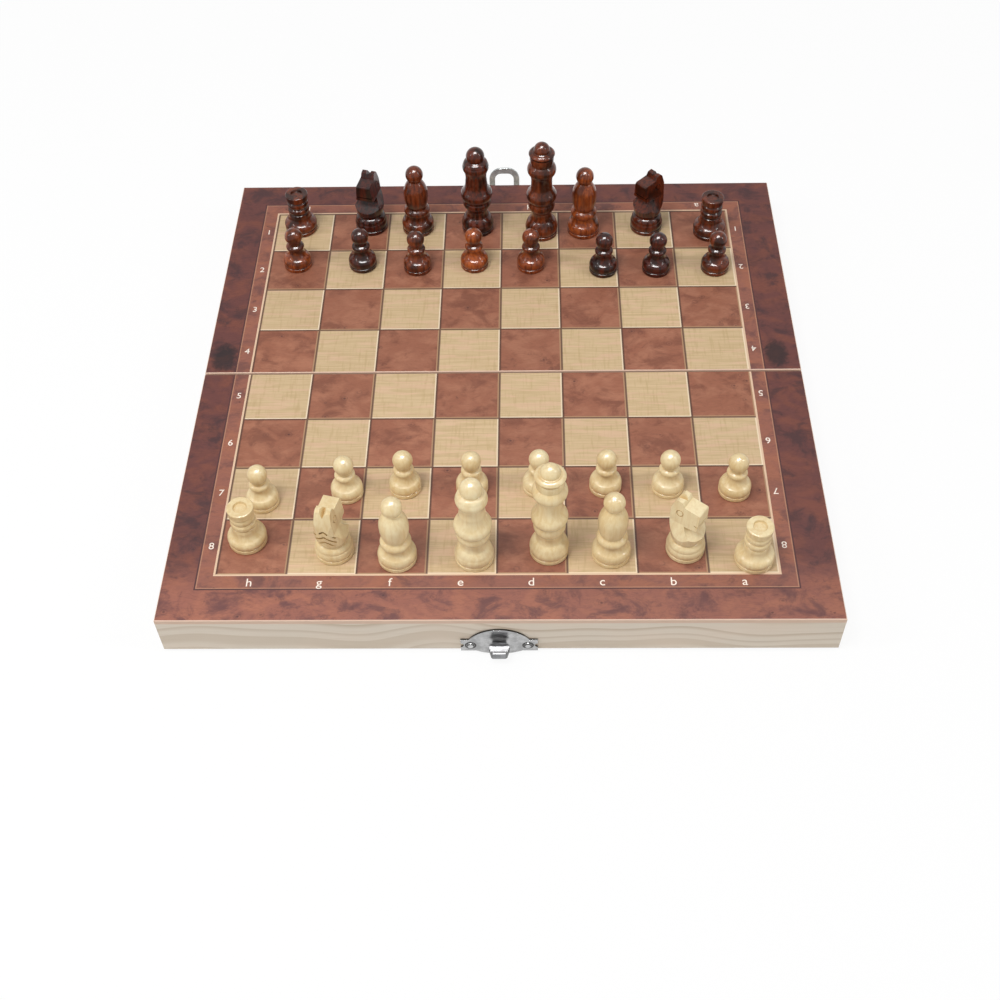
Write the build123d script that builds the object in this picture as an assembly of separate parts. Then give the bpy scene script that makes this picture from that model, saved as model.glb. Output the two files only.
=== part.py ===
"""A folding wooden chess set: two shallow pine trays, hinged along their rims, open flat with the
printed playing face up, and 32 turned pieces stand on it.

Millimetres, +Z up. The origin is on the table under the middle of the board. X runs along the
files from h to a, Y runs from the light pieces' edge to the dark pieces' edge, and the fold line
lies along X at Y = 0. The rims face down, so the fold axis is at rim height."""

import os
from math import cos, hypot, radians, sqrt

from build123d import *

# Board
board_width = 290.0
seam_gap = 1.0
panel_thickness = 2.5
panel_edge_bevel = 0.4
rail_height = 19.5
rail_thickness = 9.0
rail_edge_round = 0.6
print_border = 23.4
squares_a_side = 8

# Butt hinges let into the rims
hinge_barrel_radius = 1.3
hinge_pin_radius = 0.6
pin_clearance = 0.05
hinge_length = 18.0
hinge_leaf_width = 7.0
hinge_leaf_thickness = 0.8
hinge_offset = 80.0
knuckle_gap = 0.2
rim_gap = 0.2
swing_clearance = 0.3
fitting_clearance = 0.1

# Screws
screw_head_radius = 1.7
screw_shank_radius = 0.8
screw_length = 6.0
hinge_screw_spacing = 10.0
screw_clearance = 0.05
clasp_screw_spacing = 24.6
clasp_screw_height = 4.0
clasp_screw_head_height = 0.9

# Clasp: a nose on the light side's half, a loop on the dark side's half
plate_width = 33.0
plate_tab_height = 8.0
plate_arch_radius = 15.1
plate_arch_lift = 0.3
plate_thickness = 0.8
dome_radius = 12.2
dome_height = 2.4
nose_width = 8.7
nose_tip_width = 5.8
nose_reach = 7.5
nose_foot = 1.3
latch_clearance = 0.6
nose_round = 0.5
loop_pivot_height = 9.0
loop_pivot_offset = 3.2
loop_length = 19.4
loop_width = 16.6
loop_bar = 3.1
loop_thickness = 1.0
loop_corner_radius = 6.5
loop_lean = 11.0
loop_barrel_radius = 1.3
loop_pin_radius = 0.6
loop_side_gap = 0.25

# Pieces: heights from the foot up, and radii
piece_base_radius = 8.4
pawn_base_radius = 7.2
foot_height = 2.3
foot_edge = 0.5
groove_depth = 0.45
groove_height = 0.6
pawn_height = 23.4
pawn_head_radius = 4.5
rook_height = 23.2
rook_turret_radius = 5.8
rook_recess_radius = 3.1
rook_recess_depth = 0.9
bishop_height = 39.6
bishop_head_radius = 4.6
queen_height = 51.0
queen_head_radius = 4.8
king_height = 56.6
king_crown_radius = 6.4
king_button_radius = 4.2
knight_height = 33.4
knight_blank_radius = 8.2
knight_body_height = 10.8
knight_chest_height = 13.6
knight_jaw_height = 21.0
knight_bridge_height = 30.4
knight_back_reach = 8.0
knight_muzzle_reach = 6.4
knight_top_thickness = 7.2
knight_cheek = 0.9
mouth_width = 0.5
ear_split_width = 3.2
ear_split_depth = 2.6
knight_eye_radius = 1.5
knight_eye_line = 0.4
knight_eye_depth = 0.35
mane_cuts = 3
mane_lowest = 16.0
mane_cut_pitch = 3.4
mane_cut_length = 6.6
mane_cut_width = 0.8
mane_cut_depth = 0.6
mane_slope = 40.0
mane_wrap = 20.0

# Worked out from the sizes above
half_width = board_width / 2
square = (board_width - 2 * print_border) / squares_a_side
hinge_axis_height = hinge_barrel_radius
rim_height = hinge_axis_height + rim_gap / 2
rail_top = rim_height + rail_height
board_top = rail_top + panel_thickness
nose_top = loop_length - loop_bar - loop_pivot_height - latch_clearance
FILES = "hgfedcba"

# Where each piece stands: its file, and how far it is off the middle of its square
dark_back_row = [
    ("rook", "h", -2.4, 3.0),
    ("knight", "g", 5.0, 4.0),
    ("bishop", "f", -0.2, 2.3),
    ("queen", "e", 1.4, 2.0),
    ("king", "d", 5.0, -1.8),
    ("bishop", "c", -3.1, -0.5),
    ("knight", "b", 0.1, 1.8),
    ("rook", "a", 2.8, -3.1),
]
dark_pawn_row = [
    ("pawn", "h", -1.2, 3.7),
    ("pawn", "g", 2.6, 3.1),
    ("pawn", "f", 1.0, 0.6),
    ("pawn", "e", 0.3, 2.5),
    ("pawn", "d", -0.7, 1.5),
    ("pawn", "c", 6.3, -2.1),
    ("pawn", "b", 3.3, -2.1),
    ("pawn", "a", 3.3, -1.7),
]
light_pawn_row = [
    ("pawn", "h", 0.1, -4.8),
    ("pawn", "g", 7.2, 0.3),
    ("pawn", "f", 2.8, 3.1),
    ("pawn", "e", 2.6, 2.5),
    ("pawn", "d", 2.2, 3.3),
    ("pawn", "c", 1.7, 3.1),
    ("pawn", "b", -0.8, 2.6),
    ("pawn", "a", -1.5, 0.6),
]
light_back_row = [
    ("rook", "h", -3.9, 3.9),
    ("knight", "g", 4.4, -2.0),
    ("bishop", "f", 1.6, -6.1),
    ("queen", "e", 4.5, -5.8),
    ("king", "d", 6.4, -2.4),
    ("bishop", "c", 2.7, -4.2),
    ("knight", "b", 4.4, -1.8),
    ("rook", "a", 3.1, -7.4),
]
knight_headings = {
    ("dark", "g"): 255.0,
    ("dark", "b"): 222.0,
    ("light", "g"): 76.0,
    ("light", "b"): -36.0,
}


# Board halves, made with the tray on the +Y side and turned half round for the other one


def panel():
    """The printed board of one half, with its sanded edges, lying on the rails."""
    depth = half_width - seam_gap / 2
    blank = Pos(0, seam_gap / 2 + depth / 2, rail_top) * Box(
        board_width,
        depth,
        panel_thickness,
        align=(Align.CENTER, Align.CENTER, Align.MIN),
    )
    return chamfer(blank.edges().group_by(Axis.Z)[-1], panel_edge_bevel)


def rail(start, end, inward):
    """A rail from one outer corner to the other, mitred at both ends. inward points at the tray."""
    run = (end - start).normalized()
    outline = [
        start,
        end,
        end + (inward - run) * rail_thickness,
        start + (inward + run) * rail_thickness,
    ]
    solid = extrude(
        make_face(Polyline(*outline, close=True)), rail_height, dir=(0, 0, 1)
    )
    low_outer = solid.edges().filter_by(
        lambda e: abs(e.center().Z - rim_height) < 1e-6
        and abs(((e.center() - (start + end) / 2).cross(run)).length) < 1e-6
    )
    return fillet(low_outer, rail_edge_round)


def rails():
    """The four rails of one half, by name."""
    near, far = seam_gap / 2, half_width
    corner = {
        "near_left": Vector(-half_width, near, rim_height),
        "near_right": Vector(half_width, near, rim_height),
        "far_left": Vector(-half_width, far, rim_height),
        "far_right": Vector(half_width, far, rim_height),
    }
    hinge = rail(corner["near_left"], corner["near_right"], Vector(0, 1, 0))
    outer = rail(corner["far_left"], corner["far_right"], Vector(0, -1, 0))
    left = rail(corner["near_left"], corner["far_left"], Vector(1, 0, 0))
    right = rail(corner["near_right"], corner["far_right"], Vector(-1, 0, 0))
    hinge -= [mortise(x) for x in (-hinge_offset, hinge_offset)]
    outer -= clasp_screw_holes()
    return {
        "hinge_rail": hinge,
        "outer_rail": outer,
        "left_rail": left,
        "right_rail": right,
    }


def mortise(x):
    """What a hinge needs cut from the hinge rail: its leaf's pocket, its barrel's groove and pilot holes."""
    length = hinge_length + 2 * fitting_clearance
    pocket = Pos(x, 0, rim_height) * Box(
        length,
        hinge_leaf_width + fitting_clearance,
        hinge_leaf_thickness + fitting_clearance,
        align=(Align.CENTER, Align.MIN, Align.MIN),
    )
    groove = Pos(x, 0, hinge_axis_height) * (
        Rot(0, 90, 0) * Cylinder(hinge_barrel_radius + swing_clearance, length)
    )
    holes = [
        at * Cylinder(screw_shank_radius + screw_clearance, 2 * screw_length)
        for at in hinge_screw_places(x)
    ]
    return pocket + groove + holes


# Hinges


def hinge_screw_places(x):
    """Where the two screws of a leaf go, on the leaf's outer face, pointing into the rail."""
    middle = (hinge_barrel_radius + swing_clearance + hinge_leaf_width) / 2
    return [
        Pos(x + side * hinge_screw_spacing / 2, middle, rim_height) for side in (-1, 1)
    ]


def countersunk_screw():
    """A screw with its head's flat at Z = 0 and its shank up +Z."""
    cone_height = screw_head_radius - screw_shank_radius
    outline = Polyline(
        (0, 0),
        (screw_head_radius, 0),
        (screw_shank_radius, cone_height),
        (screw_shank_radius, screw_length - screw_shank_radius),
        (0, screw_length),
        close=True,
    )
    return revolve(Plane.XZ * make_face(outline), axis=Axis.Z)


def screw_seat():
    """The countersink and hole that a leaf has for its screw."""
    cone_height = screw_head_radius - screw_shank_radius
    cone = Cone(
        screw_head_radius + screw_clearance,
        screw_shank_radius + screw_clearance,
        cone_height,
        align=(Align.CENTER, Align.CENTER, Align.MIN),
    )
    return cone + Cylinder(screw_shank_radius + screw_clearance, 2 * screw_length)


def knuckle_spans():
    """The middle knuckle, then the two outer ones, as (start, end) along the hinge."""
    middle = hinge_length / 4
    outer = middle + knuckle_gap
    return [(-middle, middle)], [(-hinge_length / 2, -outer), (outer, hinge_length / 2)]


def leaf(x, spans):
    """A leaf on the +Y side with knuckles along spans, countersunk for its screws."""
    bare = hinge_barrel_radius + swing_clearance
    solid = Pos(x, bare, rim_height) * Box(
        hinge_length,
        hinge_leaf_width - bare,
        hinge_leaf_thickness,
        align=(Align.CENTER, Align.MIN, Align.MIN),
    )
    for start, end in spans:
        solid += Pos(x + start, 0, rim_height) * Box(
            end - start,
            bare,
            hinge_leaf_thickness,
            align=(Align.MIN, Align.MIN, Align.MIN),
        )
        solid += Pos(x + (start + end) / 2, 0, hinge_axis_height) * (
            Rot(0, 90, 0) * Cylinder(hinge_barrel_radius, end - start)
        )
    bore = Pos(x, 0, hinge_axis_height) * (
        Rot(0, 90, 0) * Cylinder(hinge_pin_radius + pin_clearance, 2 * hinge_length)
    )
    return solid - bore - [at * screw_seat() for at in hinge_screw_places(x)]


def hinge_pin(x):
    pin = Cylinder(hinge_pin_radius, hinge_length)
    return Pos(x, 0, hinge_axis_height) * (Rot(0, 90, 0) * pin)


# Clasp, made for the +Y wall: X along the rim, Y out of the wall, Z up from the rim


def at_wall(shape):
    return Pos(0, half_width, rim_height) * shape


def clasp_screw_places():
    return [
        Pos(side * clasp_screw_spacing / 2, 0, clasp_screw_height) for side in (-1, 1)
    ]


def clasp_screw_holes():
    hole = Rot(90, 0, 0) * Cylinder(
        screw_shank_radius + screw_clearance, 2 * screw_length
    )
    return [at_wall(at * hole) for at in clasp_screw_places()]


def clasp_screws():
    """Two round-headed screws in the tabs of a clasp plate."""
    head = Sphere(screw_head_radius)
    head = scale(head, by=(1, 1, clasp_screw_head_height / screw_head_radius))
    head &= Pos(0, 0, 0) * Box(
        4 * screw_head_radius,
        4 * screw_head_radius,
        2 * clasp_screw_head_height,
        align=(Align.CENTER, Align.CENTER, Align.MIN),
    )
    shank = Cylinder(
        screw_shank_radius,
        screw_length,
        align=(Align.CENTER, Align.CENTER, Align.MAX),
    )
    one = Rot(-90, 0, 0) * (head + shank)
    return Part() + [
        at_wall(at * (Pos(0, plate_thickness, 0) * one)) for at in clasp_screw_places()
    ]


def wall_plane():
    """The wall's face, with X along the rim and Y up, so that extruding goes out of the wall."""
    return Plane((0, 0, 0), x_dir=(-1, 0, 0), z_dir=(0, 1, 0))


def dome(radius, height):
    """A round cap on the wall, flat side on it, whose middle is at the rim."""
    cap_radius = (radius**2 + height**2) / (2 * height)
    ball = Pos(0, height - cap_radius, 0) * Sphere(cap_radius)
    keep = Box(
        4 * radius,
        4 * radius,
        4 * radius,
        align=(Align.CENTER, Align.MIN, Align.CENTER),
    )
    return ball & keep


def above_rim(solid):
    reach = 2 * plate_width
    return solid & Box(
        reach, reach, reach, align=(Align.CENTER, Align.CENTER, Align.MIN)
    )


def clasp_plate():
    """The arched plate: pressed out into half a dome, with a flat tab for a screw at each end."""
    arch = Pos(0, plate_arch_lift) * Circle(plate_arch_radius)
    tabs = Rectangle(
        plate_width, plate_tab_height, align=(Align.CENTER, Align.MIN)
    ) - [
        Pos(side * plate_width / 2, plate_tab_height / 2)
        * Circle(plate_tab_height / 6)
        for side in (-1, 1)
    ]
    flat = extrude(wall_plane() * (arch + tabs), plate_thickness)
    shell = dome(dome_radius, dome_height)
    hollow = dome(dome_radius - plate_thickness, dome_height - plate_thickness)
    hole = Rot(90, 0, 0) * Cylinder(
        screw_shank_radius + screw_clearance, 4 * plate_thickness
    )
    plate = above_rim(flat + shell - hollow)
    return plate - [at * hole for at in clasp_screw_places()]


def nose():
    """The duckbill that the loop snaps over: hooked away from the rim, and tapered to its tip."""
    root = dome_height / 2
    side = [
        (root, nose_foot),
        (nose_reach - 1.6, nose_foot + 0.3),
        (nose_reach, nose_foot + 2.4),
        (nose_reach - 0.4, nose_top),
        (nose_reach - 1.9, nose_top),
        (nose_reach - 2.6, nose_top - 1.9),
        (root, nose_top - 1.6),
    ]
    outline = make_face(Polyline(*side, close=True))
    solid = extrude(
        Plane((0, 0, 0), x_dir=(0, 1, 0), z_dir=(1, 0, 0)) * outline,
        nose_width / 2,
        both=True,
    )
    plan = make_face(
        Polyline(
            (-nose_width / 2, 0),
            (nose_width / 2, 0),
            (nose_width / 2, dome_height),
            (nose_tip_width / 2, nose_reach),
            (-nose_tip_width / 2, nose_reach),
            (-nose_width / 2, dome_height),
            close=True,
        )
    )
    solid &= extrude(plan, nose_top)
    outer = solid.edges().filter_by(lambda e: e.center().Y > nose_reach - 2.2)
    solid = fillet(outer, nose_round)
    return solid - dome(dome_radius, dome_height)


def loop_axis():
    return Pos(0, loop_pivot_offset, loop_pivot_height)


def loop_bore():
    bore = Cylinder(loop_pin_radius + pin_clearance, 2 * loop_width)
    return loop_axis() * (Rot(0, 90, 0) * bore)


def loop_barrel_width():
    """The plate's own barrel fills the room between the loop's two eyes."""
    return loop_width - 2 * loop_bar - 2 * loop_side_gap


def hasp_plate():
    """The loop's plate: the arched plate with a barrel raised on a web at loop height."""
    barrel = Rot(0, 90, 0) * Cylinder(loop_barrel_radius, loop_barrel_width())
    web = Pos(0, 0, loop_pivot_height) * Box(
        loop_barrel_width(),
        loop_pivot_offset,
        plate_thickness,
        align=(Align.CENTER, Align.MIN, Align.CENTER),
    )
    web -= dome(dome_radius - plate_thickness, dome_height - plate_thickness)
    return clasp_plate() + web + loop_axis() * barrel - loop_bore()


def hasp_loop():
    """The loop with its two eyes, leaning out from the wall at loop_lean."""
    inner_width = loop_width - 2 * loop_bar
    outer = Pos(0, loop_length / 2) * Rectangle(loop_width, loop_length)
    outer = fillet(outer.vertices().group_by(Axis.Y)[-1], loop_corner_radius)
    inner = Rectangle(
        inner_width, loop_length - loop_bar, align=(Align.CENTER, Align.MIN)
    )
    inner = fillet(
        inner.vertices().group_by(Axis.Y)[-1], loop_corner_radius - loop_bar
    )
    strip = extrude(
        Plane((0, 0, 0), x_dir=(-1, 0, 0), z_dir=(0, 1, 0)) * (outer - inner),
        loop_thickness / 2,
        both=True,
    )
    eye = Rot(0, 90, 0) * Cylinder(loop_barrel_radius, loop_bar)
    eyes = [
        Pos(side * (loop_width - loop_bar) / 2, 0, 0) * eye for side in (-1, 1)
    ]
    upright = strip + eyes
    return loop_axis() * (Rot(-loop_lean, 0, 0) * upright) - loop_bore()


def hasp_pin():
    return loop_axis() * (Rot(0, 90, 0) * Cylinder(loop_pin_radius, loop_width))


# Turned pieces, standing on Z = 0 on their own axis


def turned(steps):
    """A solid of revolution. Each step goes up from the last to (radius, height), straight or, with a
    third number, in an arc that bulges out by that much. The last step ends on the axis."""
    edges = [Line((0, 0), (steps[0][0], 0))]
    last = Vector(steps[0][0], 0)
    for radius, height, *bulge in steps:
        here = Vector(radius, height)
        run = here - last
        if run.length > 1e-6 and bulge:
            outward = Vector(run.Y, -run.X).normalized()
            middle = (last + here) / 2 + outward * bulge[0]
            edges.append(ThreePointArc(last, middle, here))
        elif run.length > 1e-6:
            edges.append(Line(last, here))
        last = here
    edges.append(Line(last, (0, 0)))
    return revolve(Plane.XZ * make_face(edges), axis=Axis.Z)


def foot(radius):
    """The foot that every piece stands on: a disc with eased edges under a thin turned groove."""
    return [
        (radius - foot_edge, 0),
        (radius, foot_edge),
        (radius, foot_height - foot_edge / 2),
        (radius - groove_depth, foot_height, 0.05),
        (radius - groove_depth / 4, foot_height + groove_height, 0.05),
    ]


def ball_bottom(top, radius, neck):
    """How high a ball that ends at top leaves a neck of the given radius."""
    return top - radius - sqrt(radius**2 - neck**2)


def ball(top, radius, neck):
    """The step that goes from a neck round a ball to its top."""
    chord = hypot(neck, top - ball_bottom(top, radius, neck))
    return (0, top, radius - sqrt(radius**2 - (chord / 2) ** 2))


def pawn():
    neck = 3.3
    return turned(
        [
            *foot(pawn_base_radius),
            (6.2, 6.6, 0.5),
            (3.7, 11.0, -0.7),
            (3.9, 11.4),
            (3.9, 14.0, 0.75),
            (neck, 14.4),
            (neck, ball_bottom(pawn_height, pawn_head_radius, neck)),
            ball(pawn_height, pawn_head_radius, neck),
        ]
    )


def rook():
    solid = turned(
        [
            *foot(piece_base_radius),
            (7.5, 6.2, 0.6),
            (5.5, 10.4, -0.7),
            (5.2, 11.6),
            (4.7, 12.0),
            (5.4, 12.6),
            (5.4, 15.0, 0.3),
            (4.7, 15.6),
            (5.3, 16.2),
            (5.3, 18.6, 0.25),
            (4.8, 19.2),
            (rook_turret_radius - 0.2, 19.9),
            (rook_turret_radius, rook_height - 0.6),
            (rook_turret_radius - 0.6, rook_height, 0.2),
            (0, rook_height),
        ]
    )
    recess = Pos(0, 0, rook_height - rook_recess_depth) * Cone(
        rook_recess_radius - 0.4,
        rook_recess_radius,
        rook_recess_depth,
        align=(Align.CENTER, Align.CENTER, Align.MIN),
    )
    return solid - recess


def bishop():
    neck = 3.4
    return turned(
        [
            *foot(piece_base_radius),
            (7.6, 6.6, 0.5),
            (5.7, 10.2, -0.5),
            (5.9, 10.8),
            (5.9, 14.4, 0.9),
            (5.3, 14.9),
            (5.2, 15.5),
            (6.4, 22.5, 0.35),
            (neck, 31.4, 0.9),
            (neck, ball_bottom(bishop_height, bishop_head_radius, neck)),
            ball(bishop_height, bishop_head_radius, neck),
        ]
    )


def queen():
    neck = 4.4
    collar = ball_bottom(queen_height, queen_head_radius, neck)
    return turned(
        [
            *foot(piece_base_radius),
            (8.0, 6.4, 0.4),
            (6.0, 9.6, 0.3),
            (5.9, 14.6, -0.6),
            (6.9, 16.0),
            (7.0, 19.4, 0.5),
            (6.9, 20.2),
            (7.2, 25.8, 1.2),
            (5.7, 31.6, -0.5),
            (6.3, collar - 6.2, -0.5),
            (6.4, collar - 2.4, 0.5),
            (4.9, collar - 0.4, 0.35),
            (neck, collar),
            ball(queen_height, queen_head_radius, neck),
        ]
    )


def king():
    shoulder = king_height - king_button_radius
    return turned(
        [
            *foot(piece_base_radius),
            (8.0, 6.8, 0.4),
            (5.9, 10.0, 0.3),
            (5.6, 15.0, -0.5),
            (6.2, 16.0),
            (6.5, 20.6, 0.6),
            (6.3, 21.4),
            (6.9, 27.4, 1.3),
            (5.5, 33.0, -0.5),
            (6.2, 38.0, -0.3),
            (6.4, 43.8, 1.2),
            (5.8, 44.4),
            (5.9, 45.2),
            (6.1, 48.8, 0.15),
            (5.5, 49.2),
            (king_crown_radius, 49.8, 0.1),
            (king_crown_radius, 51.0, 0.3),
            (king_button_radius + 0.5, shoulder - 0.8, 0.3),
            (king_button_radius, shoulder - 0.5),
            (king_button_radius, shoulder),
            (0, king_height, king_button_radius * (1 - cos(radians(45)))),
        ]
    )


def knight_profile():
    """The side view that is sawn from the knight's turned blank, with the muzzle towards +X."""
    back, nose, top = knight_back_reach, knight_muzzle_reach, knight_height
    bridge, jaw = knight_bridge_height, knight_jaw_height
    poll = bridge + 2.0
    edges = [
        Line((-back, 0), (-back, 20.0)),
        ThreePointArc((-back, 20.0), (0.7 - back, 26.8), (2.4 - back, poll)),
        Line((2.4 - back, poll), (3.6 - back, top)),
        Line((3.6 - back, top), (5.8 - back, top - 0.4)),
        Line((5.8 - back, top - 0.4), (6.8 - back, bridge + 0.5)),
        Line((6.8 - back, bridge + 0.5), (nose - 1.0, bridge)),
        ThreePointArc((nose - 1.0, bridge), (nose - 0.3, bridge - 0.3), (nose, bridge - 1.0)),
        Line((nose, bridge - 1.0), (nose - 0.2, jaw + 0.6)),
        Line((nose - 0.2, jaw + 0.6), (nose - 0.8, jaw)),
        Line((nose - 0.8, jaw), (0.2, jaw - 0.4)),
        ThreePointArc((0.2, jaw - 0.4), (3.6, jaw - 4.8), (back, knight_chest_height)),
        Line((back, knight_chest_height), (back, 0)),
        Line((back, 0), (-back, 0)),
    ]
    return make_face(edges)


def knight_flanks():
    """The end view: full width at the chest, leaning in to the flat sides of the head."""
    low, top = knight_blank_radius, knight_top_thickness / 2
    chest = knight_body_height + 1.0
    outline = Polyline(
        (-low, 0),
        (low, 0),
        (low, chest),
        (top + knight_cheek, knight_jaw_height),
        (top, knight_bridge_height),
        (top - 0.3, knight_height + 1),
        (0.3 - top, knight_height + 1),
        (-top, knight_bridge_height),
        (-top - knight_cheek, knight_jaw_height),
        (-low, chest),
        close=True,
    )
    return make_face(outline)


def knight():
    """A horse's head sawn from a turned blank with two flat flanks, facing +X."""
    blank = turned(
        [
            *foot(piece_base_radius),
            (7.9, 6.2, 0.35),
            (6.3, 9.2, 0.5),
            (6.2, 9.8),
            (6.7, knight_body_height, 0.05),
            (7.1, knight_body_height + 1.0, 0.1),
            (knight_blank_radius, 20.0, 0.1),
            (knight_blank_radius, knight_height + 1),
            (0, knight_height + 1),
        ]
    )
    reach = 2 * piece_base_radius
    base = blank & Box(
        2 * reach,
        2 * reach,
        knight_body_height,
        align=(Align.CENTER, Align.CENTER, Align.MIN),
    )
    side_view = extrude(Plane.XZ * knight_profile(), reach, both=True)
    end_plane = Plane((0, 0, 0), x_dir=(0, 1, 0), z_dir=(1, 0, 0))
    end_view = extrude(end_plane * knight_flanks(), reach, both=True)
    head = blank & side_view & end_view
    return base + head - eyes() - mane() - mouth() - ear_split()


def mouth():
    """A saw cut for the mouth, a little above the jaw."""
    cut = Box(2.4, 2 * piece_base_radius, mouth_width)
    return Pos(knight_muzzle_reach - 0.6, 0, knight_jaw_height + 2.6) * (
        Rot(0, 14, 0) * cut
    )


def ear_split():
    """The V groove between the ears, which runs down the back of the poll."""
    wide, deep = ear_split_width / 2, ear_split_depth
    face = make_face(Polyline((-wide, 0), (wide, 0), (0, -deep), close=True))
    end_plane = Plane((0, 0, 0), x_dir=(0, 1, 0), z_dir=(1, 0, 0))
    groove = extrude(end_plane * face, piece_base_radius, both=True)
    return Pos(3.4 - knight_back_reach, 0, knight_height + 0.1) * (
        Rot(0, -20, 0) * groove
    )


def eyes():
    """A ring punched in each flank."""
    outer = knight_eye_radius + knight_eye_line / 2
    ring = Cylinder(outer, 2 * knight_eye_depth) - Cylinder(
        outer - knight_eye_line, 4 * knight_eye_depth
    )
    below = knight_bridge_height - knight_jaw_height
    drop = 3.6
    flank = knight_top_thickness / 2 + knight_cheek * drop / below
    return [
        Pos(-2.7, side * flank, knight_bridge_height - drop) * (Rot(90, 0, 0) * ring)
        for side in (-1, 1)
    ]


def mane():
    """Chevrons cut in the back of the neck, one above the other."""
    bar = Box(2 * mane_cut_depth, mane_cut_length, mane_cut_width)
    cuts = []
    for row in range(mane_cuts):
        ridge = Pos(-knight_back_reach, 0, mane_lowest + row * mane_cut_pitch)
        for side in (-1, 1):
            along = Pos(0, side * mane_cut_length / 2, 0) * bar
            around = Rot(0, 0, -side * mane_wrap) * (Rot(-side * mane_slope, 0, 0) * along)
            cuts.append(ridge * around)
    return cuts


SHAPES = {
    "pawn": pawn,
    "rook": rook,
    "knight": knight,
    "bishop": bishop,
    "queen": queen,
    "king": king,
}


def file_x(file):
    return (FILES.index(file) - (squares_a_side - 1) / 2) * square


def rank_y(rank):
    """The middle of a rank: 8 at the light pieces' edge, 1 at the dark pieces' edge."""
    return ((squares_a_side + 1) / 2 - rank) * square


def pieces():
    """Every piece where it stands, by node name."""
    rows = [
        ("dark", 1, dark_back_row),
        ("dark", 2, dark_pawn_row),
        ("light", 7, light_pawn_row),
        ("light", 8, light_back_row),
    ]
    master = {kind: make() for kind, make in SHAPES.items()}
    found = {}
    for colour, rank, row in rows:
        for kind, file, off_x, off_y in row:
            place = Pos(file_x(file) + off_x, rank_y(rank) + off_y, board_top)
            turn = Rot(0, 0, knight_headings.get((colour, file), 0))
            alone = kind in ("king", "queen")
            name = f"{colour}_{kind}" if alone else f"{colour}_{kind}_{file}"
            found[name] = place * (turn * master[kind])
    return found


def board():
    """Both halves of the board with the hinges and the clasp, by node name."""
    found = {}
    middle_span, outer_spans = knuckle_spans()
    halves = (
        ("rear", Rot(0, 0, 0), outer_spans),
        ("front", Rot(0, 0, 180), middle_span),
    )
    for half, turn, spans in halves:
        found[f"{half}_panel"] = turn * panel()
        for name, solid in rails().items():
            found[f"{half}_{name}"] = turn * solid
        for side, x in (("left", -hinge_offset), ("right", hinge_offset)):
            local_x = x if half == "rear" else -x
            found[f"{side}_hinge_{half}_leaf"] = turn * leaf(local_x, spans)
        found[f"{half}_hinge_screws"] = Part() + [
            turn * (at * countersunk_screw())
            for x in (-hinge_offset, hinge_offset)
            for at in hinge_screw_places(x)
        ]
    front = Rot(0, 0, 180)
    found["left_hinge_pin"] = hinge_pin(-hinge_offset)
    found["right_hinge_pin"] = hinge_pin(hinge_offset)
    found["catch_plate"] = front * at_wall(clasp_plate())
    found["catch_nose"] = front * at_wall(nose())
    found["catch_screws"] = front * clasp_screws()
    found["hasp_plate"] = at_wall(hasp_plate())
    found["hasp_loop"] = at_wall(hasp_loop())
    found["hasp_pin"] = at_wall(hasp_pin())
    found["hasp_screws"] = clasp_screws()
    return found


def main():
    os.makedirs("parts", exist_ok=True)
    for name, solid in {**board(), **pieces()}.items():
        export_step(solid, f"parts/{name}.step")
    print("board top at", round(board_top, 2), "mm, rims at", round(rim_height, 2), "mm")


main()
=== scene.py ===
"""The looks of the folding chess set: printed board, pine rails, nickel clasp and turned pieces."""

import math

import bpy
from mathutils import Matrix, Vector


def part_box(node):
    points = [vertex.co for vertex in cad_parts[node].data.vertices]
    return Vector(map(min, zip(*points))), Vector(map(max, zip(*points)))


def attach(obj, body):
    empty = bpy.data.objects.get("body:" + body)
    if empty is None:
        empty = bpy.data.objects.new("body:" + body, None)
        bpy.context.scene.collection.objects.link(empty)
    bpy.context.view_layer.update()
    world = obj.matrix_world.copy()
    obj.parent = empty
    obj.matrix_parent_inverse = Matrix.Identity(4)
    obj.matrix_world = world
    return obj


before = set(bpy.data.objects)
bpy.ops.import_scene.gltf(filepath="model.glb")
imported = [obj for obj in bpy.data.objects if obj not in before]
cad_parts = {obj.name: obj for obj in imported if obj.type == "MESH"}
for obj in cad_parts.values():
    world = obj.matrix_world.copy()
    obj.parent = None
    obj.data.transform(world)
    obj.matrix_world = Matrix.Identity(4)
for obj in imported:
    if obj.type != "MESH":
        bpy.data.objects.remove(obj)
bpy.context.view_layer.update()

MM = 0.001
PLAYING_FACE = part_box("front_panel")[1].z
HALF_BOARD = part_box("front_panel")[1].x

# The print, in millimetres on the playing face. It is stamped a little to the left
PRINT_SHIFT = -1.3
SQUARE = 30.25
SQUARE_SHADE = 1.15
SQUARE_EDGE = 0.6
GRID_HALF = 4 * SQUARE
GRID_LINE = 0.9
STRIP_OUTER = 129.3
STRIP_LINE = 0.7
STRIP_GLINT = 0.5
EDGE_GLINT = 0.45
PRINT_DEPTH = 0.05

# An even number that keeps the sum of column and row above zero past the grid
ABOVE_ZERO = 20.0

# The border is paler along the near edge, partly its print and partly painted sheen, less so to the
# right, and has two knots beyond the seam
NEAR_TONE_START = -108
NEAR_TONE_END = -136
RIGHT_TONE = 0.86
KNOT_ACROSS = 135.5
KNOT_ALONG = 11.0
KNOT_HALF_WIDTH = 6.5
KNOT_HALF_LENGTH = 11.0

# Coordinates along the edges of the grid
LABEL_RADIUS = (GRID_HALF + GRID_LINE + STRIP_OUTER) / 2
RANK_LABEL_INSET = 0.7
RANK_LABEL_RADIUS = LABEL_RADIUS - RANK_LABEL_INSET
FILE_LABEL_SIZE = 5.9
RANK_LABEL_SIZE = 5.1
LABEL_LIFT = 0.03
LABEL_BOLD = 0.02
FILES = "hgfedcba"
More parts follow.
